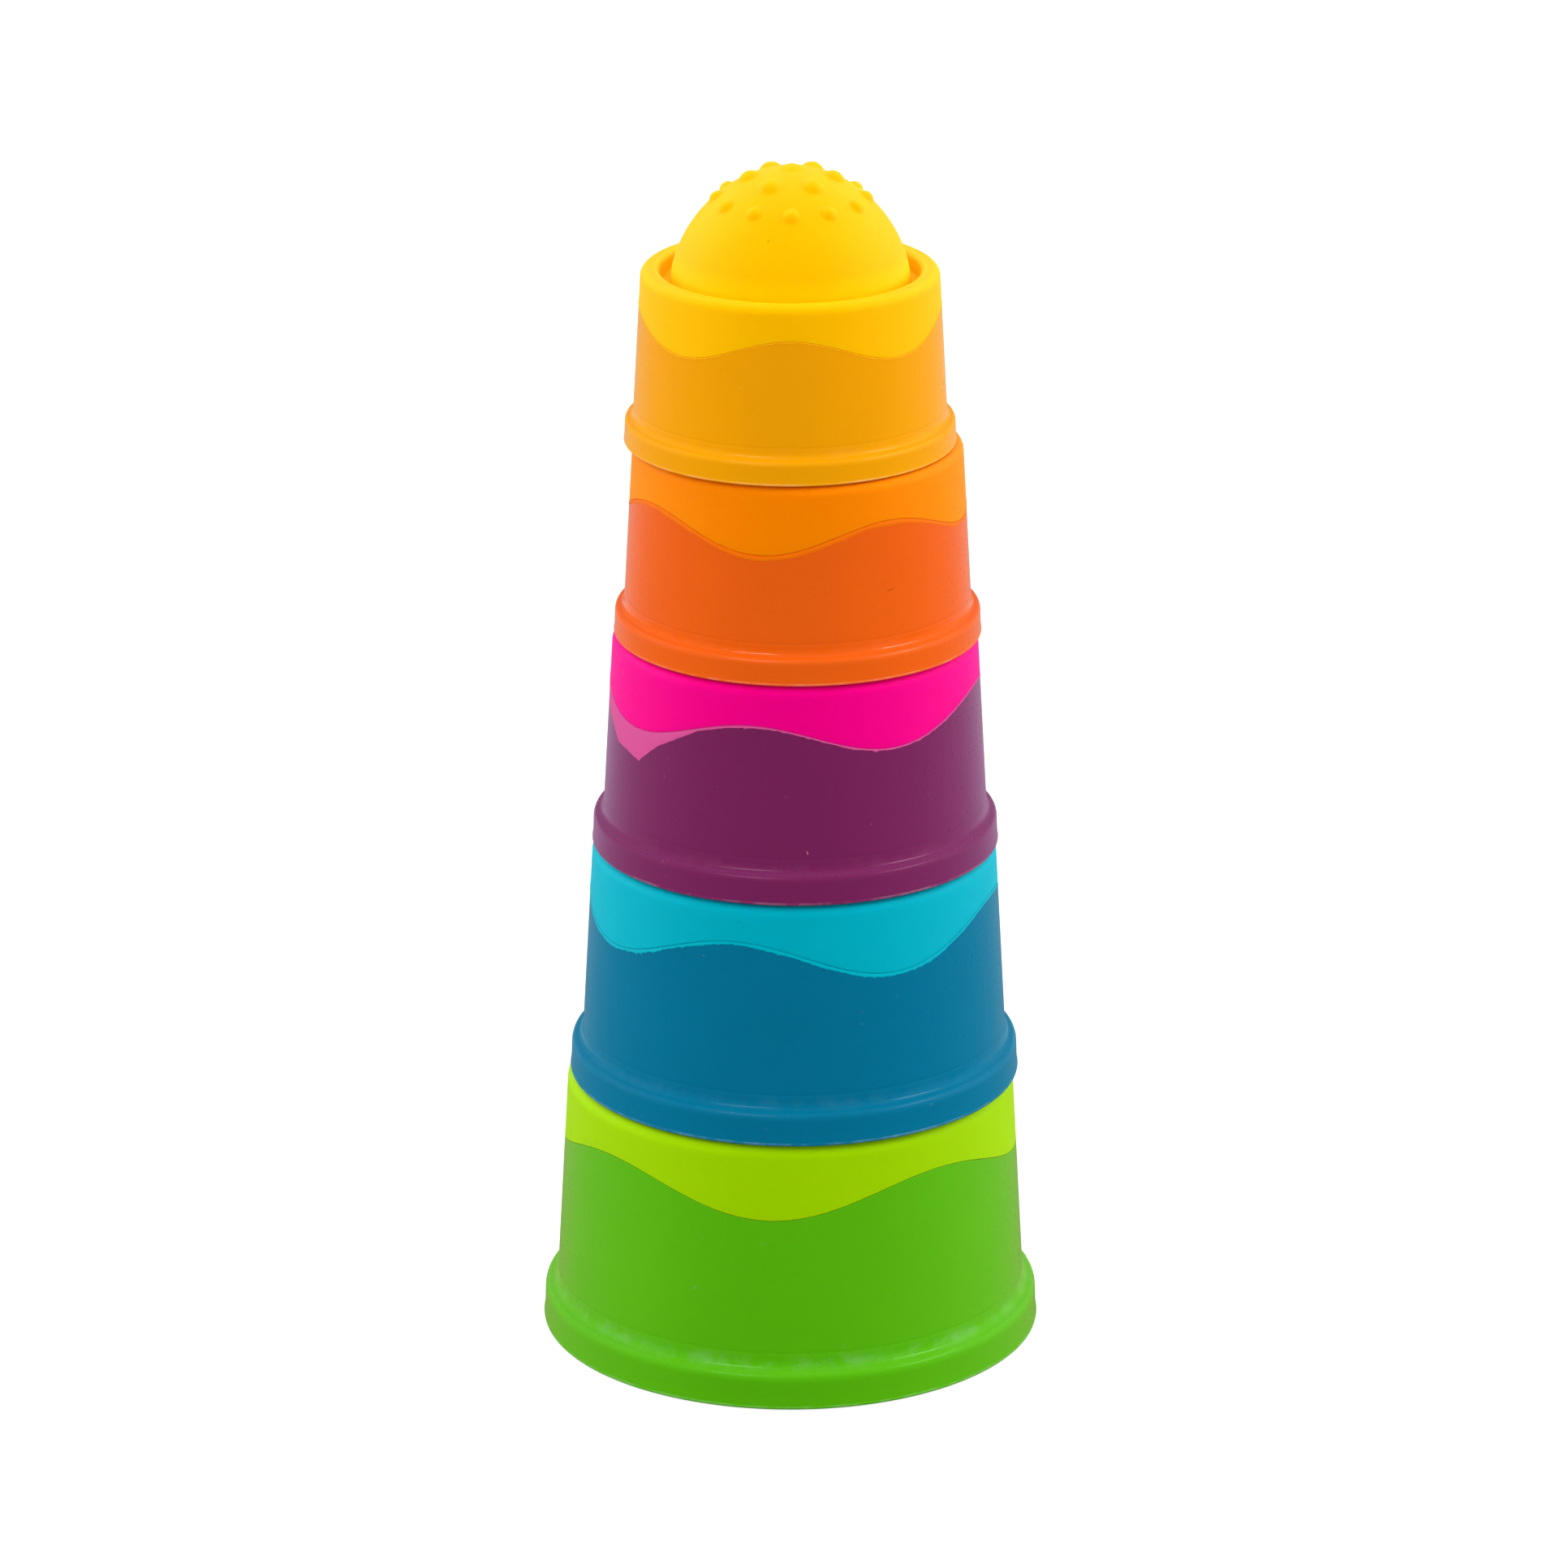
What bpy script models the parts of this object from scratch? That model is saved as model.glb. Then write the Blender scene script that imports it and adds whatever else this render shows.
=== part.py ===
"""Five stacking cups in a tower, each a hard shell with a silicone cap and a push bubble on top.

Metres, +Z up. The origin is the middle of the green cup's open bottom rim, on the surface that the tower
stands on. -Y is the front.
"""

import math

import bmesh
import bpy
from mathutils import Matrix, Vector

# Driving dimensions of the set.
BIGGEST_RADIUS = 0.054  # of the biggest cup's flange, at its bottom edge
SIZE_RATIO = 0.8975  # of each cup to the one under it
GAP = 0.0003  # between pieces that touch

# Proportions of a cup, times the radius of its flange.
STEP = 1.0767  # from a cup's base to the base of the cup on it
TOP_SEAT = 1.062  # from the top cup's base to its seat ring
WALL_RADIUS = 0.945  # of the wall just above the flange
WALL_FOOT = 0.12  # height of that place
WALL_DRAFT = 0.0569  # radius that the wall loses over each unit of height
SHOULDER = 0.059  # rounding between the wall and the seat ring
GROOVE_RADIUS = 0.779  # of the groove's outer side, inside the seat ring
GROOVE_DEPTH = 0.114  # from the seat ring to the groove's floor
BUBBLE_RADIUS = 0.7185
BUBBLE_HEIGHT = 0.722  # of the bubble above the groove's floor
CROWN_RADIUS = 0.345  # of the part of the bubble that moves as one piece
BUMP_RINGS = (  # how many bumps, their distance from the axis, their radius, their rise
    (1, 0.0, 0.078, 0.020),
    (6, 0.257, 0.067, 0.035),
    (12, 0.448, 0.050, 0.031),
)
BUMP_TAPER = 0.55  # radius of a bump's flat top to that of its foot
FLANGE = (  # outer side of the flange, from the wall down to the bottom edge
    (0.9445, 0.178),
    (0.954, 0.1515),
    (0.978, 0.1475),
    (0.9905, 0.134),
    (0.995, 0.050),
    (1.000, 0.016),
    (0.991, 0.000),
)

# Thicknesses, the same on every cup.
WALL = 0.0024
LIP = 0.0022  # inward lip at the top of the shell
SEAT_THICKNESS = 0.0016
SKIRT = 0.0008  # the cap's skirt, which lies in a recess of the shell
MEMBRANE = 0.0012  # the bubble and the floor of the groove
GROOVE_WALL = 0.0010
RETAINING_BEAD = 0.0005  # how far the cap's foot reaches out under the lip
EDGE = 0.0005  # rounding of the seat ring's inner edge
BUMP_ROOT = 0.0005  # how deep a bump's foot lies in the membrane

BUBBLE_ROUNDNESS = 1.07  # exponent of the bubble's outline, 1 is an ellipse
WAVES = 4  # of the skirt's lower edge, in one turn

SEGMENTS = 36  # round a shell or a cap
BUBBLE_SEGMENTS = 24
BUMP_SIDES = 6
TINY = 1e-6

# One row for each cup, from the bottom up: name, how far it stands to the right of the green cup, the turn of
# its wavy edge (the crest nearest to the front, in degrees to the right), the depth of the skirt from the seat
# ring to the middle of the wave, half the wave's height, the shell's colour and the silicone's.
CUP_TABLE = (
    ("green", 0.0000, 39.6, 0.0129, 0.0037, (0.074, 0.402, 0.0), (0.301, 0.565, 0.0)),
    ("blue", 0.0008, -16.0, 0.0122, 0.0040, (0.0, 0.133, 0.238), (0.0, 0.352, 0.451)),
    ("purple", 0.0010, -13.4, 0.0117, 0.0031, (0.147, 0.011, 0.078), (0.807, 0.0, 0.216)),
    ("orange", 0.0015, 32.0, 0.0116, 0.0031, (0.723, 0.102, 0.006), (0.839, 0.216, 0.0)),
    ("yellow", -0.0001, 0.0, 0.0101, 0.0028, (0.776, 0.309, 0.0), (0.973, 0.578, 0.0)),
)


class Cup:
    """One cup's sizes, in metres from the middle of its own open bottom rim."""

    def __init__(self, row, number):
        self.name, self.shift, turn, skirt_depth, self.wave, self.shell_colour, self.cap_colour = row
        self.turn = math.radians(turn)
        self.radius = BIGGEST_RADIUS * SIZE_RATIO**number
        self.step = STEP * self.radius
        self.seat = self.step - GAP
        if number == len(CUP_TABLE) - 1:
            self.seat = TOP_SEAT * self.radius
        self.wave_height = self.seat - skirt_depth
        self.deck = self.seat - SEAT_THICKNESS - GAP
        self.groove_radius = GROOVE_RADIUS * self.radius
        self.floor = self.seat - GROOVE_DEPTH * self.radius
        self.bubble_radius = BUBBLE_RADIUS * self.radius
        self.bubble_height = BUBBLE_HEIGHT * self.radius

    def wall(self, height):
        """Outer radius of the tapered wall."""
        return WALL_RADIUS * self.radius - WALL_DRAFT * (height - WALL_FOOT * self.radius)

    def bubble(self, angle, inset=0.0):
        """Radius and height on the bubble at an angle up from its foot, on the skin or that far inside it."""
        across = (self.bubble_radius - inset) * math.cos(angle) ** BUBBLE_ROUNDNESS
        up = (self.bubble_height - inset) * math.sin(angle) ** BUBBLE_ROUNDNESS
        return across, self.floor + up

    def bubble_angle(self, distance):
        """Angle of the place on the bubble's skin that lies this far from its axis."""
        return math.acos((distance / self.bubble_radius) ** (1 / BUBBLE_ROUNDNESS))


def clear_scene():
    for obj in list(bpy.data.objects):
        bpy.data.objects.remove(obj, do_unlink=True)


def new_collection(name, hidden=False):
    collection = bpy.data.collections.new(name)
    collection.hide_render = hidden
    bpy.context.scene.collection.children.link(collection)
    return collection


def new_material(name, colour, roughness):
    material = bpy.data.materials.new(name)
    material.use_nodes = True
    shader = material.node_tree.nodes["Principled BSDF"]
    shader.inputs["Base Color"].default_value = (*colour, 1)
    shader.inputs["Roughness"].default_value = roughness
    shader.inputs["Metallic"].default_value = 0
    return material


def spread(start, end, count):
    """Evenly spaced values from start to end, both included."""
    return [start + (end - start) * i / (count - 1) for i in range(count)]


def turned(name, outline, segments, collection, parent, closed=True):
    """Turns an outline of (radius, height) about Z. It starts at the top and runs down its outer side."""
    count = len(outline)
    edges = [(i, (i + 1) % count) for i in range(count if closed else count - 1)]
    mesh = bpy.data.meshes.new(name)
    mesh.from_pydata([(radius, 0, height) for radius, height in outline], edges, [])
    obj = bpy.data.objects.new(name, mesh)
    collection.objects.link(obj)
    obj.parent = parent
    screw = obj.modifiers.new("Turn", "SCREW")
    screw.steps = screw.render_steps = segments
    screw.use_merge_vertices = True
    screw.merge_threshold = 0.00001
    return obj


def bake(obj):
    """Swaps an object's modifiers for the mesh that they make."""
    graph = bpy.context.evaluated_depsgraph_get()
    mesh = bpy.data.meshes.new_from_object(obj.evaluated_get(graph))
    obj.modifiers.clear()
    obj.data = mesh


def finish(obj, material):
    bake(obj)
    obj.data.materials.clear()
    obj.data.materials.append(material)
    obj.data.shade_smooth()
    obj.data.set_sharp_from_angle(angle=math.radians(30))


def wave_edge(obj, cup, height):
    """Moves the ring of points at this height up and down along the wall, WAVES times in a turn."""
    bake(obj)
    for vertex in obj.data.vertices:
        if abs(vertex.co.z - height) > TINY:
            continue
        angle = math.atan2(vertex.co.x, -vertex.co.y)
        rise = cup.wave * math.cos(WAVES * (angle - cup.turn))
        radius = math.hypot(vertex.co.x, vertex.co.y)
        scale = (radius - WALL_DRAFT * rise) / radius
        vertex.co = (vertex.co.x * scale, vertex.co.y * scale, vertex.co.z + rise)


def make_shell(cup, collection, parent):
    """Hard tapered wall with a flange at the bottom, a lip at the top and a recess for the silicone skirt."""
    recess = SKIRT + GAP
    step = cup.wave_height - GAP / 2
    lip_bottom = cup.deck - LIP
    lip_radius = cup.groove_radius + GROOVE_WALL + GAP
    outline = [
        (cup.wall(cup.deck) - recess, cup.deck),
        (cup.wall(step) - recess, step),
        (cup.wall(step), step),
    ]
    outline += [(across * cup.radius, up * cup.radius) for across, up in FLANGE]
    outline += [
        (cup.wall(0) - WALL, 0),
        (cup.wall(lip_bottom) - WALL, lip_bottom),
        (lip_radius, lip_bottom),
        (lip_radius, cup.deck),
    ]
    shell = turned(f"{cup.name}_cup_shell", outline, SEGMENTS, collection, parent)
    wave_edge(shell, cup, step)
    return shell


def make_cap(cup, collection, parent):
    """Silicone cap: wavy skirt, rounded shoulder, seat ring, groove and the foot that grips the shell's lip."""
    rounding = SHOULDER * cup.radius
    shoulder = cup.seat - rounding
    edge = cup.wave_height + GAP / 2
    deck = cup.deck + GAP
    under_lip = cup.deck - LIP - GAP
    under_floor = cup.floor - MEMBRANE
    hole = cup.bubble_radius + GAP
    foot = cup.groove_radius + GROOVE_WALL
    outline = [(cup.groove_radius + EDGE, cup.seat)]
    for angle in spread(math.pi / 2, 0, 4):
        across = cup.wall(shoulder) - rounding + rounding * math.cos(angle)
        outline.append((across, shoulder + rounding * math.sin(angle)))
    outline += [
        (cup.wall(edge), edge),
        (cup.wall(edge) - SKIRT, edge),
        (cup.wall(deck) - SKIRT, deck),
        (foot, deck),
        (foot, under_lip),
        (foot + RETAINING_BEAD, under_lip),
        (foot + RETAINING_BEAD, under_floor),
        (hole, under_floor),
        (hole, cup.floor),
        (cup.groove_radius, cup.floor),
        (cup.groove_radius, cup.seat - EDGE),
    ]
    cap = turned(f"{cup.name}_silicone_cap", outline, SEGMENTS, collection, parent)
    wave_edge(cap, cup, edge)
    return cap


def add_bumps(obj, cup, rings, helpers):
    """Joins rings of low round bumps to the bubble's skin, each square to the skin."""
    mesh = bmesh.new()
    for count, distance, radius, rise in rings:
        depth = rise * cup.radius + BUMP_ROOT
        angle = cup.bubble_angle(distance * cup.radius)
        across, height = cup.bubble(angle)
        normal = Vector((0, -across / cup.bubble_radius**2, (height - cup.floor) / cup.bubble_height**2))
        upright = Vector((0, 0, 1)).rotation_difference(normal).to_matrix().to_4x4()
        root = Matrix.Translation((0, 0, depth / 2 - BUMP_ROOT))
        first = cup.turn + math.pi / count if count == BUMP_RINGS[1][0] else cup.turn
        for i in range(count):
            spin = Matrix.Rotation(first + math.tau * i / count, 4, "Z")
            place = spin @ Matrix.Translation((0, -across, height)) @ upright @ root
            bmesh.ops.create_cone(
                mesh,
                cap_ends=True,
                segments=BUMP_SIDES,
                radius1=radius * cup.radius,
                radius2=radius * cup.radius * BUMP_TAPER,
                depth=depth,
                matrix=place,
            )
    data = bpy.data.meshes.new(f"{obj.name}_bumps")
    mesh.to_mesh(data)
    mesh.free()
    bumps = bpy.data.objects.new(data.name, data)
    bumps.parent = obj.parent
    bumps.hide_render = True
    bumps.display_type = "WIRE"
    helpers.objects.link(bumps)
    union = obj.modifiers.new("Bumps", "BOOLEAN")
    union.operation = "UNION"
    union.object = bumps


def make_bubble_wall(cup, collection, helpers, parent):
    """The ring of the bubble between the groove's floor and the crown."""
    split = cup.bubble_angle(CROWN_RADIUS * cup.radius)
    top = split - GAP / cup.bubble_radius
    below = cup.floor - MEMBRANE
    outline = [cup.bubble(angle) for angle in spread(top, 0, 6)]
    outline += [(cup.bubble_radius, below), (cup.bubble_radius - MEMBRANE, below)]
    outline += [cup.bubble(angle, MEMBRANE) for angle in spread(0, top, 5)]
    wall = turned(f"{cup.name}_bubble_wall", outline, BUBBLE_SEGMENTS, collection, parent)
    add_bumps(wall, cup, BUMP_RINGS[2:], helpers)
    return wall


def make_bubble_crown(cup, collection, helpers, parent):
    """The middle of the bubble, which a finger pushes down."""
    split = cup.bubble_angle(CROWN_RADIUS * cup.radius)
    outline = [cup.bubble(angle) for angle in spread(math.pi / 2, split, 4)]
    outline += [cup.bubble(angle, MEMBRANE) for angle in spread(split, math.pi / 2, 4)]
    crown = turned(f"{cup.name}_bubble_crown", outline, BUBBLE_SEGMENTS, collection, parent, closed=False)
    add_bumps(crown, cup, BUMP_RINGS[:2], helpers)
    return crown


def make_cup(cup, base, parts, helpers):
    axis = bpy.data.objects.new(f"{cup.name}_cup_axis", None)
    axis.location = (cup.shift, 0, base)
    parts.objects.link(axis)
    plastic = new_material(f"{cup.name}_plastic", cup.shell_colour, 0.35)
    silicone = new_material(f"{cup.name}_silicone", cup.cap_colour, 0.55)
    finish(make_shell(cup, parts, axis), plastic)
    finish(make_cap(cup, parts, axis), silicone)
    finish(make_bubble_wall(cup, parts, helpers, axis), silicone)
    finish(make_bubble_crown(cup, parts, helpers, axis), silicone)


def main():
    clear_scene()
    parts = new_collection("stacking_cup_tower")
    helpers = new_collection("bump_shapes", hidden=True)
    base = 0.0
    for number, row in enumerate(CUP_TABLE):
        cup = Cup(row, number)
        make_cup(cup, base, parts, helpers)
        base += cup.step


main()
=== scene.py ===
"""Looks of the stacking cup tower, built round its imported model.

Metres, +Z up, -Y is the front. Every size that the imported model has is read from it; the proportions below
repeat the design's. Heights inside a cup are counted from its open bottom rim.
"""

import math

import bmesh
import bpy
import numpy as np
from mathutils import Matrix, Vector, noise


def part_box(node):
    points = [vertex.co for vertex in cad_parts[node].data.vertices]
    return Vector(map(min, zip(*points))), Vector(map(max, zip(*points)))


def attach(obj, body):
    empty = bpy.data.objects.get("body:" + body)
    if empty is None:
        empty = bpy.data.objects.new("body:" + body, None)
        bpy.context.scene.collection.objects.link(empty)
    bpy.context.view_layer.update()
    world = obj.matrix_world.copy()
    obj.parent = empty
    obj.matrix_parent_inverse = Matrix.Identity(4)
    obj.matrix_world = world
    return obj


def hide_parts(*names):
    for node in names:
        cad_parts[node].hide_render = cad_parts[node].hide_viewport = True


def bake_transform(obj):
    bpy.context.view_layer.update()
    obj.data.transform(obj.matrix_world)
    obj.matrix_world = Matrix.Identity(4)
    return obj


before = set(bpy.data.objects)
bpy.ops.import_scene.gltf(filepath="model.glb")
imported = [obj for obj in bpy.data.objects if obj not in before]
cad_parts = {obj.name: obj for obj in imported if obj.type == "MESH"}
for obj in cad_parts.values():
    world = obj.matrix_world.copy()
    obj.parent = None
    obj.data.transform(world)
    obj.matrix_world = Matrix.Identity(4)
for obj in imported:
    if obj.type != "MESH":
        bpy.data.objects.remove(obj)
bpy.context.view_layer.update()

# Proportions of a cup, times the radius of its flange.
WALL_RADIUS = 0.945
WALL_FOOT = 0.12
WALL_DRAFT = 0.0569
SHOULDER = 0.059
INNER_ROUNDING = 0.030
GROOVE_RADIUS = 0.779
GROOVE_DEPTH = 0.114
BUBBLE_RADIUS = 0.7185
BUBBLE_HEIGHT = 0.722
CROWN_RADIUS = 0.345
BUMP_RINGS = (  # how many bumps, distance from the axis, radius, rise, turn in steps of the ring
    (1, 0.0, 0.078, 0.020, 0),
    (6, 0.257, 0.067, 0.035, 0.5),
    (12, 0.448, 0.050, 0.031, 0),
)
BUMP_BLEND = 0.16  # how softly a bump runs into the skin
LEDGE = (0.9925, 0.1465)  # outer corner of the flange's top: radius and height
FILLET = 0.050  # how far the hollow between wall and flange reaches up the wall
LEDGE_CORNER = 0.035  # how far the rounding of the flange's top reaches down its face
FLARE = (0.9945, 0.050)  # where the flange's face ends its taper
RIM_LIP_UP = 0.009  # height of the fine lip round the flange's bottom edge
WITNESS_LINE = 0.215  # height of the fine line that the mould leaves above the flange

# Thicknesses and roundings, the same on every cup.
WALL = 0.0024
INWARD_LIP = 0.0022
SEAT_THICKNESS = 0.0016
SKIRT = 0.0008
MEMBRANE = 0.0012
GROOVE_WALL = 0.0010
RETAINING_BEAD = 0.0005
GAP = 0.0003  # between silicone and plastic
SEAM = 0.00005  # half the gap at the bottom of the joint between silicone and plastic
SEAM_EDGE = 0.00013  # roundings that make the joint a fine groove
EDGE = 0.0004  # rounding of an ordinary edge
FINE_EDGE = 0.0002
INNER_EDGE = 0.0005  # rounding of the bottom rim on its inside
INWARD_LIP_FILLET = 0.0008
GROOVE_FILLET = 0.0013
RIM_LIP_OUT = 0.00012  # how far the lip round the flange's bottom edge stands out
RIM_LIP_STEP = 0.00015  # height and rounding of its upper side
RIM_LIP_EDGE = 0.00022
RIM_DRAFT = 0.0001  # how far the bottom edge lies inside that lip
WITNESS_DEPTH = 0.00006
WITNESS_WIDTH = 0.00022
SKIN_DEPTH = SKIRT + 1.5 * GAP  # what lies nearer the wall's face than this follows the wavy edge

# Forms.
WAVES = 4
BUBBLE_ROUNDNESS = 1.07  # 1 would be half an ellipsoid
BUMP_ROUNDNESS = 0.8
TOP_LEAN = 0.0003  # how far the top bubble's middle leans to the right

# Fineness of the meshes.
SEGMENTS = 216
TOP_BUBBLE_SEGMENTS = 384
FILM_SEGMENTS = 900
PLAIN_ROWS = 16  # rows of points on the bubble's skin below its bumps
BUMP_MARGIN = 1.3  # how far outside the outer ring's middle those rows end, in radii of its bumps
ROW_CLOSENESS = 1.6  # how much closer the rows among the bumps are than the segments
QUARTER_STEPS = 6
ARC_STEP = math.radians(11)
SHARP = math.radians(35)  # an edge sharper than this is shaded as one
LONGEST_ROW = 0.004
END_ROW = 0.0003  # distance from each end of a straight stretch to the row next to it
MERGE_DISTANCE = 1e-7
INSET = 0.00002  # keeps the true circles inside the faceted solids' box

# For each cup, from the bottom up: name, turn of its wavy edge in degrees, depth of the skirt from the seat
# to the middle of the wave, half the wave's height.
CUP_TABLE = (
    ("green", 39.6, 0.0129, 0.0037),
    ("blue", -16.0, 0.0122, 0.0040),
    ("purple", -13.4, 0.0117, 0.0031),
    ("orange", 32.0, 0.0116, 0.0031),
    ("yellow", 0.0, 0.0101, 0.0028),
)

# Linear colours of plastic and silicone; then, for the plastic, its gloss, how rough its hollow above the
# flange is, the pale bloom there, which is partly whitish scuffing and partly painted highlight, the haze and
# the haze's linear colour.
COLOURS = {
    "green": ((0.078, 0.412, 0), (0.325, 0.605, 0), 0.20, 0.2, 0.27, 0.24, (1, 0.8, 0.3)),
    "blue": ((0, 0.141, 0.258), (0, 0.395, 0.500), 0.14, 0.16, 0.05, 0.16, (0, 0.7, 1)),
    "purple": ((0.158, 0.010, 0.080), (0.840, 0, 0.232), 0.22, 0.2, 0.05, 0.26, (0.8, 0.5, 1)),
    "orange": ((0.740, 0.100, 0.003), (0.880, 0.224, 0), 0.28, 0.10, 0.05, 0.04, (1, 0.5, 0.1)),
    "yellow": ((0.755, 0.302, 0), (0.925, 0.458, 0), 0.14, 0.2, 0.05, 0.04, (1, 0.8, 0.1)),
}

# Silicone that ran out under the joint and set as a film on the shell: its reach below the joint, how ragged
# that is, its linear colour, where the joint gapes most (degrees to the right of the front) and by how much.
FILMS = {
    "blue": (0.0006, 0.00022, (0.000, 0.380, 0.480), -9, 0.00030),
    "purple": (0.0003, 0.00015, (0.600, 0.075, 0.270), -25, 0.00016),
    "orange": (0.0008, 0.00012, (0.800, 0.150, 0.002), 0, 0.00008),
    "yellow": (0.00012, 0.00012, (0.900, 0.430, 0.005), 50, 0.00006),
}
GAPE_ALL_ROUND = 0.25  # the joint's gape far from that place, as a share
GAPE_SPREAD = 0.4  # how far round it spreads, in radians
# Lower edge of a broad patch of that film: degrees to the right of the front, height.
FILM_PATCHES = {
    "purple": (
        (-96, 0.0385),
        (-82.7, 0.0310),
        (-74.4, 0.0286),
        (-69.5, 0.0263),
        (-61.9, 0.0258),
        (-55.5, 0.0248),
        (-51.0, 0.0274),
        (-46.6, 0.0297),
        (-37.6, 0.0330),
        (-29.5, 0.0359),
    ),
}
FILM = 0.00006  # the film's thickness
FILM_ROOT = 0.0004  # how deep behind the wall's face the film starts
SHORTEST_REACH = 0.00008
# Features a metre of the film's ragged edge.
DRIPS = 900
FINE_DRIPS = 2600
SWELLS = 120
PATCH_WAVES = 700
PATCH_WAVE = 0.00015  # height of the small waves in a patch's edge

# Small marks on the surfaces: what they are on, degrees to the right of the front, height, distance from the
# axis where it isn't the wall's, half width, half height, tilt in degrees, linear colour, strength.
MARKS = (
    ("yellow_silicone", -13.25, 0.0479, 0.01978, 0.00025, 0.00017, 20, (0.45, 0.12, 0.0), 0.8),
    ("yellow_plastic", -38.2, 0.0213, None, 0.00010, 0.0011, 0, (0.62, 0.17, 0.0), 0.5),
    ("yellow_plastic", -26.2, 0.0230, None, 0.00010, 0.0009, 3, (0.62, 0.17, 0.0), 0.5),
    ("orange_plastic", -50.9, 0.0127, None, 0.00012, 0.0016, -2, (0.35, 0.03, 0.0), 0.55),
    ("orange_plastic", 32.0, 0.0184, None, 0.0010, 0.00025, 12, (0.35, 0.03, 0.0), 0.5),
    ("purple_plastic", 3.5, 0.0108, None, 0.00015, 0.00045, 15, (0.75, 0.20, 0.22), 0.9),
    ("purple_plastic", 23.0, 0.0159, None, 0.00015, 0.00035, 10, (0.35, 0.15, 0.30), 0.4),
    ("blue_plastic", 7.7, 0.0379, None, 0.00020, 0.00020, 0, (0.0, 0.03, 0.10), 0.8),
    ("blue_silicone", -14.2, 0.0469, None, 0.00020, 0.00020, 0, (0.0, 0.12, 0.16), 0.7),
    ("blue_silicone", -15.6, 0.0480, None, 0.0012, 0.00006, -38, (0.0, 0.18, 0.24), 0.5),
    ("blue_silicone", -17.2, 0.0459, None, 0.0021, 0.00006, 30, (0.0, 0.20, 0.26), 0.3),
)

# Procedural grains: features a metre, detail, roughness of the detail, the span of the noise that is used,
# and the two values that its ends become.
GRAINS = {
    "plastic_clouds": (45, 3, 0.5, (0.3, 0.7), (0, 1)),
    "plastic_speckle": (2600, 1, 0.5, (0.35, 0.65), (0, 0.5)),
    "plastic_scuffs": (320, 4, 0.7, (0.68, 0.76), (0, 0.2)),
    # the pale bloom in the hollow above the flange, partly whitish scuffing and partly painted highlight
    "plastic_bloom_and_highlight": (120, 6, 0.8, (0.45, 0.85), (0, 1)),
    # the chips on the flange's bottom lip, which also paint that lip's highlight
    "plastic_chips_and_highlight": (240, 4, 0.7, (0.4, 0.7), (0, 0.4)),
    "plastic_roughness": (900, 2, 0.5, (0.3, 0.7), (0.27, 0.31)),
    "silicone_clouds": (30, 2, 0.5, (0.3, 0.7), (0, 1)),
    "silicone_specks": (700, 3, 0.8, (0.76, 0.82), (0, 0.2)),
    "silicone_roughness": (1200, 2, 0.5, (0.3, 0.7), (0.5, 0.62)),
}
# Heights from the ledge where the polish of the hollow above it starts, is full and begins to fade; and from
# the lip round the flange's bottom edge, where pale chips and a painted highlight start, are full, begin to
# fade and end.
POLISH_BAND = (-0.0004, 0.001, 0.0016)
CHIP_AND_HIGHLIGHT_BAND = (-0.0004, -0.0002, 0, 0.0003)
GLOW_RADII = (0.80, 0.83)  # where the painted light in the groove fades, times the flange's radius
GLOW_HEIGHTS = (-0.002, 0.004)  # heights from the seat where it fades
SILICONE_GLOSS = 0.2
SILICONE_SOFTNESS = 0.6
SILICONE_DEPTHS = (0.0012, 0.001, 0.0007)  # how far red, green and blue light runs inside it
MARK_DEPTH = 0.002
MARK_FADE = (0.3, 1.2)  # where a mark begins to fade and has faded, in halves of its size

# Brightness of the studio: behind the camera, from the sides on backwards, and overhead as a share of those.
FRONT_LIGHT = 1.03
SIDE_LIGHT = 2.15
TOP_LIGHT = 0.52
FRONT_TO_SIDE = (-0.9, -0.1)  # between these Y of the direction the first turns into the second
LEVEL_TO_TOP = (0.1, 1)  # between these Z of the direction it dims overhead
MIRRORED_LIGHT = (0.12, 0.22)  # brightness of the studio in reflections, at the left and at the right
FLOOR_TONE = 0.33
FLOOR_GLOW = 0.75  # light that the floor adds where it is looked at directly
MIRRORED_FLOOR = (0.02, 0.6)  # brightness of the floor in reflections, in front of the tower and behind it
MIRRORED_FLOOR_ENDS = (-0.1, 0.5)  # where along Y the one begins to turn into the other, and where it has
FLOOR_SIZE = 8
FLOOR_DROP = 0.0002

# Rectangular lamps: name, degrees to the right of the front, degrees up, distance, width, height, brightness,
# whether reflections show them, and whether they light matt surfaces.
LAMPS = (
    ("left_softbox", -30, 40, 1.0, 0.42, 0.14, 6, False, True),
    ("left_strip", -30, 40, 1.05, 0.42, 0.06, 60, True, False),
    ("right_softbox", 73, 35, 1.0, 0.42, 0.14, 6, False, True),
    ("right_strip", 73, 35, 1.05, 0.42, 0.06, 60, True, False),
    ("top_softbox", 10, 66, 1.2, 0.9, 0.5, 0.9, True, True),
    ("left_panel", -100, 15, 1.3, 0.8, 1.2, 1.4, False, True),
    ("right_panel", 100, 15, 1.3, 0.8, 1.2, 1.8, False, True),
)
LAMP_TARGET = Vector((0, 0, 0.13))

# The camera.
CAMERA_PLACE = (-0.0014, -1.43803, 0.63481)
CAMERA_DOWN = math.radians(19.63)
CAMERA_LENS = 163.98
SENSOR = 36.0


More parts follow.
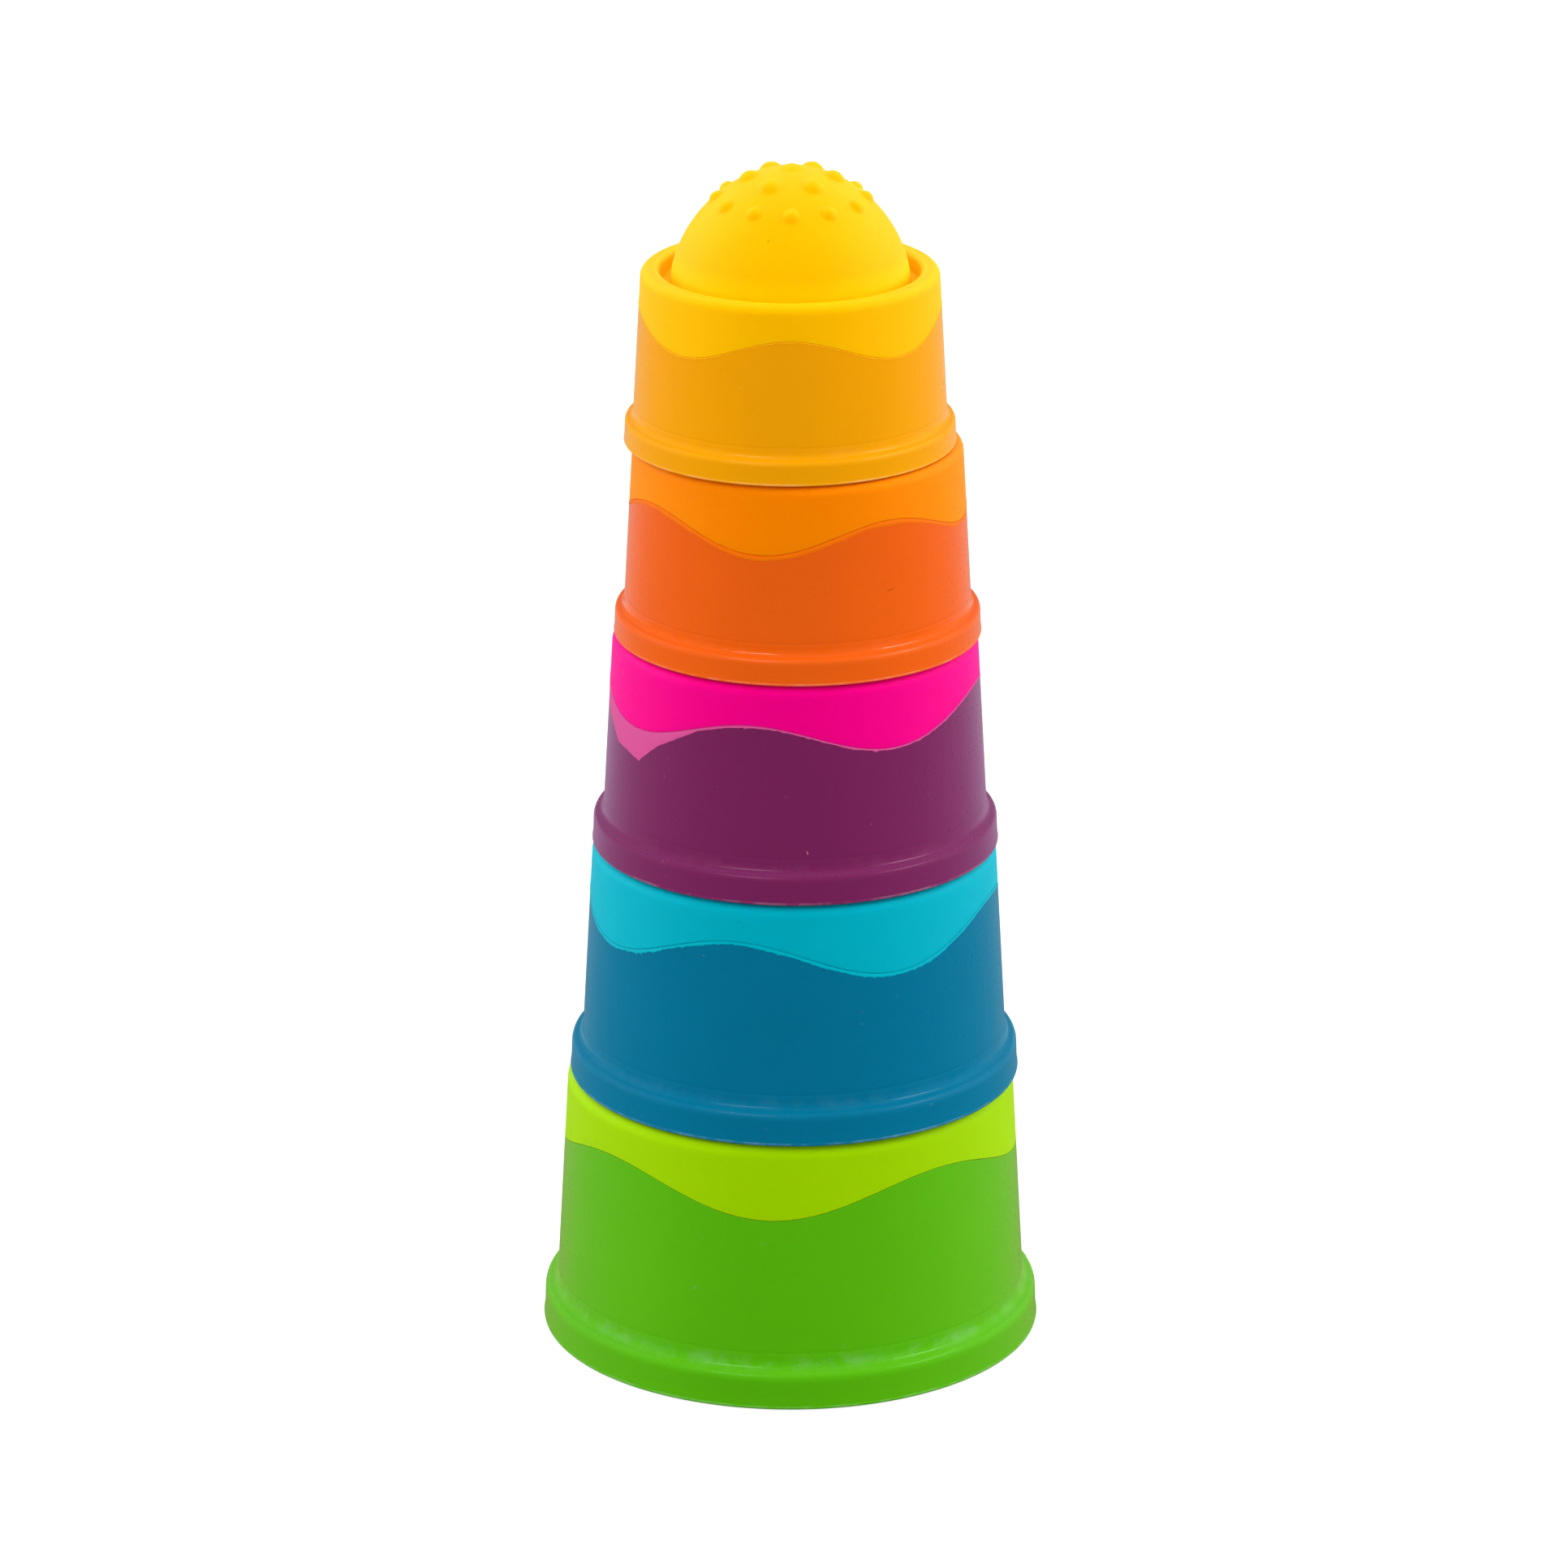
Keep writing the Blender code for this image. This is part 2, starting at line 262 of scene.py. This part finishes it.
class Cup:
    """One cup's sizes and place."""

    def __init__(self, row):
        self.name, turn, skirt_depth, self.wave = row
        self.turn = math.radians(turn)
        low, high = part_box(f"{self.name}_cup_shell")
        self.middle = Vector(((low.x + high.x) / 2, 0, low.z))
        self.radius = (high.x - low.x) / 2 - INSET
        self.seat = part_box(f"{self.name}_silicone_cap")[1].z - low.z
        self.wave_height = self.seat - skirt_depth
        self.deck = self.seat - SEAT_THICKNESS - GAP
        self.floor = self.seat - GROOVE_DEPTH * self.radius
        self.groove_radius = GROOVE_RADIUS * self.radius
        self.bubble_radius = BUBBLE_RADIUS * self.radius
        self.bubble_height = BUBBLE_HEIGHT * self.radius
        self.film = FILMS.get(self.name)
        self.patch = FILM_PATCHES.get(self.name)
        self.on_top = row is CUP_TABLE[-1]
        self.body = f"{self.name}_cup"
        self.bubble_body = f"{self.name}_bubble"

    def wall(self, height):
        return WALL_RADIUS * self.radius - WALL_DRAFT * (height - WALL_FOOT * self.radius)

    def rise(self, angle):
        """How far the wavy edge stands above its middle, at an angle to the right of the front."""
        return self.wave * np.cos(WAVES * (angle - self.turn))

    def gape(self, angle):
        """How much wider than usual the joint under the silicone's edge is, at an angle."""
        if not self.film:
            return np.zeros_like(angle)
        *_, place, most = self.film
        away = np.radians((np.degrees(angle) - place + 180) % 360 - 180)
        return most * (GAPE_ALL_ROUND + (1 - GAPE_ALL_ROUND) * np.exp(-((away / GAPE_SPREAD) ** 2)))

    def bubble(self, angle):
        across = self.bubble_radius * math.cos(angle) ** BUBBLE_ROUNDNESS
        return across, self.floor + self.bubble_height * math.sin(angle) ** BUBBLE_ROUNDNESS

    def bubble_angle(self, distance):
        return math.acos((distance / self.bubble_radius) ** (1 / BUBBLE_ROUNDNESS))


def rounded(corners):
    """Points of a closed outline, given as (radius, height, fillet) corners, with each fillet as an arc."""
    points = []
    for i, (across, up, fillet) in enumerate(corners):
        corner = Vector((across, up))
        if not fillet:
            points.append(corner)
            continue
        back = Vector(corners[i - 1][:2]) - corner
        ahead = Vector(corners[(i + 1) % len(corners)][:2]) - corner
        half = back.angle(ahead) / 2
        reach = min(fillet / math.tan(half), 0.45 * back.length, 0.45 * ahead.length)
        fillet = reach * math.tan(half)
        centre = corner + (back.normalized() + ahead.normalized()).normalized() * fillet / math.sin(half)
        first = corner + back.normalized() * reach - centre
        last = corner + ahead.normalized() * reach - centre
        start = math.atan2(first.y, first.x)
        sweep = (math.atan2(last.y, last.x) - start + math.pi) % math.tau - math.pi
        steps = max(2, math.ceil(abs(sweep) / ARC_STEP))
        for k in range(steps + 1):
            angle = start + sweep * k / steps
            points.append(centre + Vector((math.cos(angle), math.sin(angle))) * fillet)
    return points


def elliptical(across, up, wide, high, start):
    """Corners along a quarter of an ellipse round a centre, clockwise from start in degrees."""
    angles = [math.radians(start - 90 * k / QUARTER_STEPS) for k in range(QUARTER_STEPS + 1)]
    return [(across + wide * math.cos(angle), up + high * math.sin(angle), 0) for angle in angles]


def with_rows(points):
    """The closed outline with its straight stretches divided, finely next to their ends."""
    rows = []
    for i, point in enumerate(points):
        ahead = points[(i + 1) % len(points)]
        length = (ahead - point).length
        rows.append(point)
        if length < 4 * END_ROW:
            continue
        pieces = math.ceil((length - 2 * END_ROW) / LONGEST_ROW)
        for k in range(pieces + 1):
            along = END_ROW + (length - 2 * END_ROW) * k / pieces
            rows.append(point.lerp(ahead, along / length))
    return rows


def ring_mesh(name, vertices, segments, middle, closed=True):
    """A surface round the axis through its points, listed segment by segment with as many in each."""
    count = len(vertices) // segments
    faces = []
    for i in range(segments):
        here = i * count
        there = (i + 1) % segments * count
        for j in range(count if closed else count - 1):
            k = (j + 1) % count
            faces.append((here + j, here + k, there + k, there + j))
    mesh = bpy.data.meshes.new(name)
    mesh.from_pydata((np.asarray(vertices) + np.array(middle)).tolist(), [], faces)
    shape = bmesh.new()
    shape.from_mesh(mesh)
    bmesh.ops.remove_doubles(shape, verts=shape.verts, dist=MERGE_DISTANCE)
    bmesh.ops.recalc_face_normals(shape, faces=shape.faces)
    shape.to_mesh(mesh)
    shape.free()
    mesh.shade_smooth()
    mesh.set_sharp_from_angle(angle=SHARP)
    obj = bpy.data.objects.new(name, mesh)
    bpy.context.scene.collection.objects.link(obj)
    return obj


def lathe(name, outline, segments, middle, shift=None, closed=True):
    """Turns an outline about the cup's axis. shift(radii, heights, angles) gives new radii and heights."""
    radii = np.array([point[0] for point in outline])[None, :]
    heights = np.array([point[1] for point in outline])[None, :]
    angles = (np.arange(segments) * math.tau / segments)[:, None]
    radii, heights, angles = np.broadcast_arrays(radii, heights, angles)
    if shift:
        radii, heights = shift(radii, heights, angles)
    vertices = np.stack([radii * np.sin(angles), -radii * np.cos(angles), heights], axis=-1)
    return ring_mesh(name, vertices.reshape(-1, 3), segments, middle, closed)


def wave_shift(cup, edge, still_above, still_below, lower=False):
    """A shift that bends the skin near the wavy edge with it, fading to nothing at the two still heights."""

    def shift(radii, heights, angles):
        on_skin = radii > cup.wall(heights) - SKIN_DEPTH
        below = np.clip((heights - still_below) / (edge - still_below), 0, 1)
        above = np.clip((still_above - heights) / (still_above - edge), 0, 1)
        rise = cup.rise(angles) - (cup.gape(angles) if lower else 0)
        rise = np.where(on_skin, np.minimum(below, above), 0) * rise
        return radii - WALL_DRAFT * rise, heights + rise

    return shift


def make_shell(cup, material):
    """The hard wall with its flange, its inward lip and the wavy recess for the silicone's skirt."""
    size = cup.radius
    step = cup.wave_height - SEAM
    lip_bottom = cup.deck - INWARD_LIP
    lip_radius = cup.groove_radius + GROOVE_WALL + GAP
    recess = SKIRT + GAP
    ledge_radius, ledge = LEDGE[0] * size, LEDGE[1] * size
    witness = WITNESS_LINE * size
    rim_lip = RIM_LIP_UP * size
    fillet, corner = FILLET * size, LEDGE_CORNER * size
    middle = ledge_radius - 0.5 * (LEDGE[0] - WALL_RADIUS) * size
    corners = [
        (cup.wall(cup.deck) - recess, cup.deck, EDGE),
        (cup.wall(step) - recess, step, 0),
        (cup.wall(step), step, SEAM_EDGE),
        (cup.wall(witness + WITNESS_WIDTH), witness + WITNESS_WIDTH, 0),
        (cup.wall(witness) - WITNESS_DEPTH, witness, 0),
        (cup.wall(witness - WITNESS_WIDTH), witness - WITNESS_WIDTH, 0),
        *reversed(elliptical(middle, ledge + fillet, middle - cup.wall(ledge + fillet), fillet, 270)),
        *elliptical(middle, ledge - corner, ledge_radius - middle, corner, 90)[1:],
        (FLARE[0] * size, FLARE[1] * size, 0),
        (size - RIM_LIP_OUT, rim_lip + RIM_LIP_STEP, RIM_LIP_STEP),
        (size, rim_lip, RIM_LIP_EDGE),
        (size - RIM_DRAFT, 0, FINE_EDGE),
        (cup.wall(0) - WALL, 0, INNER_EDGE),
        (cup.wall(lip_bottom) - WALL, lip_bottom, INWARD_LIP_FILLET),
        (lip_radius, lip_bottom, EDGE),
        (lip_radius, cup.deck, EDGE),
    ]
    shift = wave_shift(cup, step, cup.deck, witness + 2 * WITNESS_WIDTH, lower=True)
    name = f"{cup.name}_cup_wall"
    shell = lathe(name, with_rows(rounded(corners)), SEGMENTS, cup.middle, shift)
    shell.data.materials.append(material)
    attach(shell, cup.body)
    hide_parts(f"{cup.name}_cup_shell")


def make_cap(cup, material):
    """The silicone top with its skirt, shoulder, seat ring, groove and the foot that grips the inward lip."""
    rounding = SHOULDER * cup.radius
    edge = cup.wave_height + SEAM
    deck = cup.deck + GAP
    under_lip = cup.deck - INWARD_LIP - GAP
    under_floor = cup.floor - MEMBRANE
    foot = cup.groove_radius + GROOVE_WALL
    hole = cup.bubble_radius + SEAM
    corners = [
        (cup.groove_radius, cup.seat, INNER_ROUNDING * cup.radius),
        (cup.wall(cup.seat), cup.seat, rounding),
        (cup.wall(edge), edge, SEAM_EDGE),
        (cup.wall(edge) - SKIRT, edge, 0),
        (cup.wall(deck) - SKIRT, deck, 0),
        (foot, deck, 0),
        (foot, under_lip, 0),
        (foot + RETAINING_BEAD, under_lip, FINE_EDGE),
        (foot + RETAINING_BEAD, under_floor, EDGE),
        (hole, under_floor, 0),
        (hole, cup.floor, 0),
        (cup.groove_radius, cup.floor, GROOVE_FILLET),
    ]
    shift = wave_shift(cup, edge, cup.seat - rounding, 0)
    cap = lathe(f"{cup.name}_silicone_top", with_rows(rounded(corners)), SEGMENTS, cup.middle, shift)
    cap.data.materials.append(material)
    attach(cap, cup.body)
    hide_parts(f"{cup.name}_silicone_cap")


def film_reach(cup, angle, edge):
    """How far the film reaches down from the edge, at an angle."""
    reach, ragged = cup.film[:2]
    place = Vector((math.sin(angle), -math.cos(angle), 0)) * cup.radius
    drips = noise.noise(place * DRIPS) + 0.7 * noise.noise(place * FINE_DRIPS)
    swell = 1 + 0.5 * noise.noise(place * SWELLS)
    reach = max(SHORTEST_REACH, reach * swell + ragged * (drips + 1.5 * max(0, drips - 0.45)))
    if cup.patch:
        degrees = math.degrees(angle)
        azimuths, heights = zip(*cup.patch)
        if azimuths[0] < degrees < azimuths[-1]:
            bottom = np.interp(degrees, azimuths, heights) + PATCH_WAVE * noise.noise(place * PATCH_WAVES)
            reach = max(reach, edge - bottom)
    return reach


def make_film(cup, material):
    """The thin ragged film of silicone on the shell just under the joint."""
    vertices = []
    for i in range(FILM_SEGMENTS):
        angle = math.tau * i / FILM_SEGMENTS - math.pi
        gape = float(cup.gape(angle))
        edge = cup.wave_height - SEAM + float(cup.rise(angle)) - gape
        reach = film_reach(cup, angle, edge)
        # Points from the hidden root over the joint and down the face: height from the edge, how far out.
        section = (
            (-0.00035, -FILM_ROOT),
            (gape + GAP, -FILM_ROOT),
            (gape + GAP, -FILM_ROOT / 2),
            (0.00003, -FILM_ROOT / 2),
            (-0.00002, 0.0),
            (-0.12 * reach - 0.00005, FILM),
            (-0.75 * reach, FILM),
            (-reach, 0.4 * FILM),
            (-reach - 0.00002, -FILM_ROOT / 4),
        )
        for up, proud in section:
            height = edge + up
            radius = cup.wall(height) + proud
            vertices.append((radius * math.sin(angle), -radius * math.cos(angle), height))
    film = ring_mesh(f"{cup.name}_silicone_film", vertices, FILM_SEGMENTS, cup.middle)
    film.data.materials.append(material)
    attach(film, cup.body)


def bump_rise(cup, places):
    """How far the bumps lift each of these places on the bubble's skin."""
    rise = np.zeros(len(places))
    for count, distance, radius, most, turn in BUMP_RINGS:
        across, up = cup.bubble(cup.bubble_angle(distance * cup.radius))
        first = cup.turn + turn * math.tau / count
        for i in range(count):
            angle = first + math.tau * i / count
            centre = np.array((across * math.sin(angle), -across * math.cos(angle), up))
            reach = np.linalg.norm(places - centre, axis=1) / (radius * cup.radius)
            dome = 1 - reach**2
            soft = np.clip(dome + BUMP_BLEND, 0, 2 * BUMP_BLEND) ** 2 / (4 * BUMP_BLEND)
            rise += most * cup.radius * np.where(dome > BUMP_BLEND, dome, soft) ** BUMP_ROUNDNESS
    return rise


def make_bubble(cup, material):
    """The bubble's skin as one open surface, from its foot up to the middle, thickened inwards."""
    segments = TOP_BUBBLE_SEGMENTS if cup.on_top else SEGMENTS
    _, distance, radius, *_ = BUMP_RINGS[-1]
    outer_bumps = cup.bubble_angle((distance + BUMP_MARGIN * radius) * cup.radius)
    fine = math.tau / segments / ROW_CLOSENESS
    plain_rows = np.linspace(0, outer_bumps, PLAIN_ROWS)
    bump_rows = np.linspace(outer_bumps, math.pi / 2, math.ceil((math.pi / 2 - outer_bumps) / fine))
    outline = [(cup.bubble_radius, cup.floor - MEMBRANE), (cup.bubble_radius, cup.floor - MEMBRANE / 2)]
    outline += [cup.bubble(min(angle, math.pi / 2)) for angle in (*plain_rows, *bump_rows[1:-1])]
    outline.append((0.0, cup.floor + cup.bubble_height))
    bubble = lathe(f"{cup.name}_bubble_skin", outline, segments, cup.middle, closed=False)
    mesh = bubble.data
    places = np.array([vertex.co - cup.middle for vertex in mesh.vertices])
    slopes = np.stack(
        [
            places[:, 0] / cup.bubble_radius**2,
            places[:, 1] / cup.bubble_radius**2,
            np.maximum(places[:, 2] - cup.floor, 0) / cup.bubble_height**2,
        ],
        axis=-1,
    )
    normals = slopes / np.linalg.norm(slopes, axis=1)[:, None]
    places += normals * bump_rise(cup, places)[:, None]
    if cup.on_top:
        places[:, 0] += TOP_LEAN * np.clip((places[:, 2] - cup.floor) / cup.bubble_height, 0, 1)
    places += np.array(cup.middle)
    mesh.vertices.foreach_set("co", places.astype(np.float32).ravel())
    mesh.update()
    mesh.materials.append(material)
    solid = bubble.modifiers.new("Membrane", "SOLIDIFY")
    solid.thickness = MEMBRANE
    solid.offset = -1
    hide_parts(f"{cup.name}_bubble_wall", f"{cup.name}_bubble_crown")
    crown_foot = cup.bubble(cup.bubble_angle(CROWN_RADIUS * cup.radius))[1]
    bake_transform(bubble)


def new_material(name):
    material = bpy.data.materials.new(name)
    material.use_nodes = True
    tree = material.node_tree
    return material, tree, tree.nodes["Principled BSDF"]


def add_range(tree, value, low, high, to_low, to_high):
    node = tree.nodes.new("ShaderNodeMapRange")
    for socket, number in zip(node.inputs[1:5], (low, high, to_low, to_high)):
        socket.default_value = number
    tree.links.new(value, node.inputs[0])
    return node.outputs[0]


def add_grain(tree, places, name, strength=1):
    """One of the grains; strength multiplies the values that it gives."""
    scale, detail, roughness, span, values = GRAINS[name]
    texture = tree.nodes.new("ShaderNodeTexNoise")
    texture.inputs["Scale"].default_value = scale
    texture.inputs["Detail"].default_value = detail
    texture.inputs["Roughness"].default_value = roughness
    tree.links.new(places, texture.inputs["Vector"])
    low, high = values
    return add_range(tree, texture.outputs["Fac"], *span, low * strength, high * strength)


def add_tint(tree, factor, first, second):
    """Colour between two colours; each is a tuple or a socket."""
    mix = tree.nodes.new("ShaderNodeMix")
    mix.data_type = "RGBA"
    tree.links.new(factor, mix.inputs["Factor"])
    for socket, colour in ((mix.inputs["A"], first), (mix.inputs["B"], second)):
        if isinstance(colour, tuple):
            socket.default_value = (*colour, 1)
        else:
            tree.links.new(colour, socket)
    return mix.outputs["Result"]


def add_mix(tree, factor, first, second):
    """Number between two numbers; each is a number or a socket."""
    mix = tree.nodes.new("ShaderNodeMix")
    tree.links.new(factor, mix.inputs["Factor"])
    for socket, number in ((mix.inputs["A"], first), (mix.inputs["B"], second)):
        if isinstance(number, float):
            socket.default_value = number
        else:
            tree.links.new(number, socket)
    return mix.outputs["Result"]


def multiplied(tree, first, second):
    product = tree.nodes.new("ShaderNodeMath")
    product.operation = "MULTIPLY"
    tree.links.new(first, product.inputs[0])
    tree.links.new(second, product.inputs[1])
    return product.outputs[0]


def vector_result(tree, operation, vector, other=(0, 0, 0)):
    node = tree.nodes.new("ShaderNodeVectorMath")
    node.operation = operation
    tree.links.new(vector, node.inputs[0])
    node.inputs[1].default_value = other
    return node.outputs["Value" if operation == "LENGTH" else "Vector"]


def component(tree, vector, axis):
    """The vector's X, Y or Z."""
    split = tree.nodes.new("ShaderNodeSeparateXYZ")
    tree.links.new(vector, split.inputs[0])
    return split.outputs[axis]


def object_coordinates(tree):
    return tree.nodes.new("ShaderNodeTexCoord").outputs["Object"]


def scaled(colour, factor):
    return tuple(min(1.0, channel * factor) for channel in colour)


def paler(colour, white):
    return tuple(channel * (1 - white) + white for channel in colour)


def add_marks(tree, base, places, cup, kind):
    """Lays the small marks of this cup's shell or silicone over its colour."""
    for surface, azimuth, height, across, half_width, half_height, tilt, colour, strength in MARKS:
        if surface != f"{cup.name}_{kind}":
            continue
        around = math.radians(azimuth)
        across = across or cup.wall(height)
        mapping = tree.nodes.new("ShaderNodeMapping")
        mapping.vector_type = "TEXTURE"
        centre = cup.middle + Vector((across * math.sin(around), -across * math.cos(around), height))
        mapping.inputs["Location"].default_value = centre
        mapping.inputs["Rotation"].default_value = (0, math.radians(-tilt), around)
        mapping.inputs["Scale"].default_value = (half_width, MARK_DEPTH, half_height)
        tree.links.new(places, mapping.inputs["Vector"])
        distance = vector_result(tree, "LENGTH", mapping.outputs[0])
        amount = add_range(tree, distance, *MARK_FADE, strength, 0)
        base = add_tint(tree, amount, base, colour)
    return base


def height_band(tree, places, bottom, low, high, top):
    """1 between the heights low and high, fading to 0 at bottom and top."""
    height = component(tree, places, "Z")
    lower = add_range(tree, height, bottom, low, 0, 1)
    upper = add_range(tree, height, high, top, 1, 0)
    return multiplied(tree, lower, upper)


def groove_painted_glow(tree, places, cup):
    """1 in the groove and on the bubble's foot, where the silicone gets painted light for the light that also
    comes through the thin skin.
    """
    centred = vector_result(tree, "SUBTRACT", places, cup.middle)
    distance = vector_result(tree, "LENGTH", vector_result(tree, "MULTIPLY", centred, (1, 1, 0)))
    inner, outer = (share * cup.radius for share in GLOW_RADII)
    low, high = (cup.middle.z + cup.seat + up for up in GLOW_HEIGHTS)
    within = add_range(tree, distance, inner, outer, 1, 0)
    below = add_range(tree, component(tree, places, "Z"), low, high, 1, 0)
    return multiplied(tree, within, below)


def make_plastic(cup, colour, gloss, polish, bloom_and_highlight, haze, haze_colour):
    """Satin plastic, smoother in the hollow above the flange, with pale patches there and on the rim that are
    partly scuffs and chips, partly painted highlight.
    """
    material, tree, shader = new_material(f"{cup.name}_satin_plastic")
    places = object_coordinates(tree)
    ledge = cup.middle.z + LEDGE[1] * cup.radius
    witness = cup.middle.z + WITNESS_LINE * cup.radius
    rim_lip = cup.middle.z + RIM_LIP_UP * cup.radius
    hollow = height_band(tree, places, *(ledge + up for up in POLISH_BAND), witness)
    rim = height_band(tree, places, *(rim_lip + up for up in CHIP_AND_HIGHLIGHT_BAND))
    clouds = add_grain(tree, places, "plastic_clouds")
    speckle = add_grain(tree, places, "plastic_speckle")
    scuffs = add_grain(tree, places, "plastic_scuffs")
    patches = multiplied(tree, hollow, add_grain(tree, places, "plastic_bloom_and_highlight", bloom_and_highlight))
    chips_and_highlight = multiplied(tree, rim, add_grain(tree, places, "plastic_chips_and_highlight"))
    base = add_tint(tree, clouds, scaled(colour, 0.97), scaled(colour, 1.03))
    base = add_tint(tree, speckle, base, scaled(colour, 1.05))
    base = add_tint(tree, scuffs, base, paler(colour, 0.25))
    # pale patches in the hollow above the flange: partly whitish scuffing, partly painted highlight
    base = add_tint(tree, patches, base, paler(colour, 0.4))
    # pale chips round the lip at the flange's bottom edge, partly painted highlight along the lip
    base = add_tint(tree, chips_and_highlight, base, paler(colour, 0.25))
    base = add_marks(tree, base, places, cup, "plastic")
    tree.links.new(base, shader.inputs["Base Color"])
    rough = add_mix(tree, hollow, add_grain(tree, places, "plastic_roughness"), polish)
    tree.links.new(rough, shader.inputs["Roughness"])
    shader.inputs["Specular IOR Level"].default_value = gloss
    shader.inputs["Specular Tint"].default_value = (*paler(colour, 0.3), 1)
    shader.inputs["Sheen Weight"].default_value = haze
    shader.inputs["Sheen Tint"].default_value = (*haze_colour, 1)
    return material


def make_silicone(cup, name, colour, softness):
    """Matt silicone: soft, slightly translucent, with a very fine powdery grain."""
    material, tree, shader = new_material(name)
    places = object_coordinates(tree)
    clouds = add_grain(tree, places, "silicone_clouds")
    specks = add_grain(tree, places, "silicone_specks")
    base = add_tint(tree, clouds, scaled(colour, 0.98), scaled(colour, 1.02))
    base = add_tint(tree, specks, base, paler(colour, 0.15))
    # painted light: the groove and the bubble's foot are painted brighter than the silicone's own colour
    base = add_tint(tree, groove_painted_glow(tree, places, cup), base, scaled(colour, 1.3))
    base = add_marks(tree, base, places, cup, "silicone")
    tree.links.new(base, shader.inputs["Base Color"])
    tree.links.new(add_grain(tree, places, "silicone_roughness"), shader.inputs["Roughness"])
    shader.inputs["Specular IOR Level"].default_value = SILICONE_GLOSS
    shader.inputs["Specular Tint"].default_value = (*colour, 1)
    shader.inputs["Subsurface Weight"].default_value = softness
    shader.inputs["Subsurface Radius"].default_value = SILICONE_DEPTHS
    shader.inputs["Subsurface Scale"].default_value = 1.0
    return material


def make_floor():
    """Grey paper that is burnt out to white in the view, and dark in front of the tower in reflections."""
    bpy.ops.mesh.primitive_plane_add(size=FLOOR_SIZE, location=(0, 0, -FLOOR_DROP))
    floor = bpy.context.object
    floor.name = "studio_floor"
    material, tree, paper = new_material("pale_floor")
    paper.inputs["Base Color"].default_value = (FLOOR_TONE, FLOOR_TONE, FLOOR_TONE, 1)
    paper.inputs["Roughness"].default_value = 0.9
    paper.inputs["Specular IOR Level"].default_value = 0.1
    path = tree.nodes.new("ShaderNodeLightPath")
    mirrored = tree.nodes.new("ShaderNodeEmission")
    depth = component(tree, object_coordinates(tree), "Y")
    tree.links.new(add_range(tree, depth, *MIRRORED_FLOOR_ENDS, *MIRRORED_FLOOR), mirrored.inputs["Strength"])
    glow = tree.nodes.new("ShaderNodeEmission")
    glow.inputs["Strength"].default_value = FLOOR_GLOW
    seen = tree.nodes.new("ShaderNodeAddShader")
    tree.links.new(paper.outputs[0], seen.inputs[0])
    tree.links.new(glow.outputs[0], seen.inputs[1])
    result = paper
    for ray, shader in (("Is Camera Ray", seen), ("Is Glossy Ray", mirrored)):
        mix = tree.nodes.new("ShaderNodeMixShader")
        tree.links.new(path.outputs[ray], mix.inputs[0])
        tree.links.new(result.outputs[0], mix.inputs[1])
        tree.links.new(shader.outputs[0], mix.inputs[2])
        result = mix
    tree.links.new(result.outputs[0], tree.nodes["Material Output"].inputs["Surface"])
    floor.data.materials.append(material)


def make_world():
    """A white studio, dimmer behind the camera and overhead than at the sides, and dim in reflections."""
    world = bpy.data.worlds.new("studio")
    bpy.context.scene.world = world
    world.use_nodes = True
    tree = world.node_tree
    direction = tree.nodes.new("ShaderNodeTexCoord").outputs["Generated"]
    around = add_range(tree, component(tree, direction, "Y"), *FRONT_TO_SIDE, FRONT_LIGHT, SIDE_LIGHT)
    overhead = add_range(tree, component(tree, direction, "Z"), *LEVEL_TO_TOP, 1, TOP_LIGHT)
    mirrored = add_range(tree, component(tree, direction, "X"), -1, 1, *MIRRORED_LIGHT)
    in_reflection = tree.nodes.new("ShaderNodeLightPath").outputs["Is Glossy Ray"]
    strength = add_mix(tree, in_reflection, multiplied(tree, around, overhead), mirrored)
    tree.links.new(strength, tree.nodes["Background"].inputs["Strength"])
    tree.nodes["Background"].inputs["Color"].default_value = (1, 1, 1, 1)


def make_lamp(name, azimuth, elevation, distance, width, height, brightness, in_reflections, on_surfaces):
    around = math.radians(azimuth)
    up = math.radians(elevation)
    away = Vector((math.sin(around) * math.cos(up), -math.cos(around) * math.cos(up), math.sin(up)))
    data = bpy.data.lights.new(name, "AREA")
    data.shape = "RECTANGLE"
    data.size = width
    data.size_y = height
    data.energy = brightness * math.pi * width * height
    lamp = bpy.data.objects.new(name, data)
    lamp.location = LAMP_TARGET + away * distance
    lamp.rotation_euler = (-away).to_track_quat("-Z", "Y").to_euler()
    lamp.visible_glossy = in_reflections
    lamp.visible_diffuse = on_surfaces
    bpy.context.scene.collection.objects.link(lamp)


def make_camera():
    data = bpy.data.cameras.new("camera")
    data.lens = CAMERA_LENS
    data.sensor_width = SENSOR
    camera = bpy.data.objects.new("camera", data)
    camera.location = CAMERA_PLACE
    camera.rotation_euler = (math.pi / 2 - CAMERA_DOWN, 0, 0)
    bpy.context.scene.collection.objects.link(camera)
    bpy.context.scene.camera = camera


def main():
    bpy.context.scene.view_settings.view_transform = "Standard"
    for row in CUP_TABLE:
        cup = Cup(row)
        plastic_colour, silicone_colour, *finish = COLOURS[cup.name]
        plastic = make_plastic(cup, plastic_colour, *finish)
        silicone = make_silicone(cup, f"{cup.name}_matt_silicone", silicone_colour, SILICONE_SOFTNESS)
        make_shell(cup, plastic)
        make_cap(cup, silicone)
        make_bubble(cup, silicone)
        if cup.film:
            make_film(cup, make_silicone(cup, f"{cup.name}_film", cup.film[2], 0))
    make_floor()
    make_world()
    for lamp in LAMPS:
        make_lamp(*lamp)
    make_camera()


main()
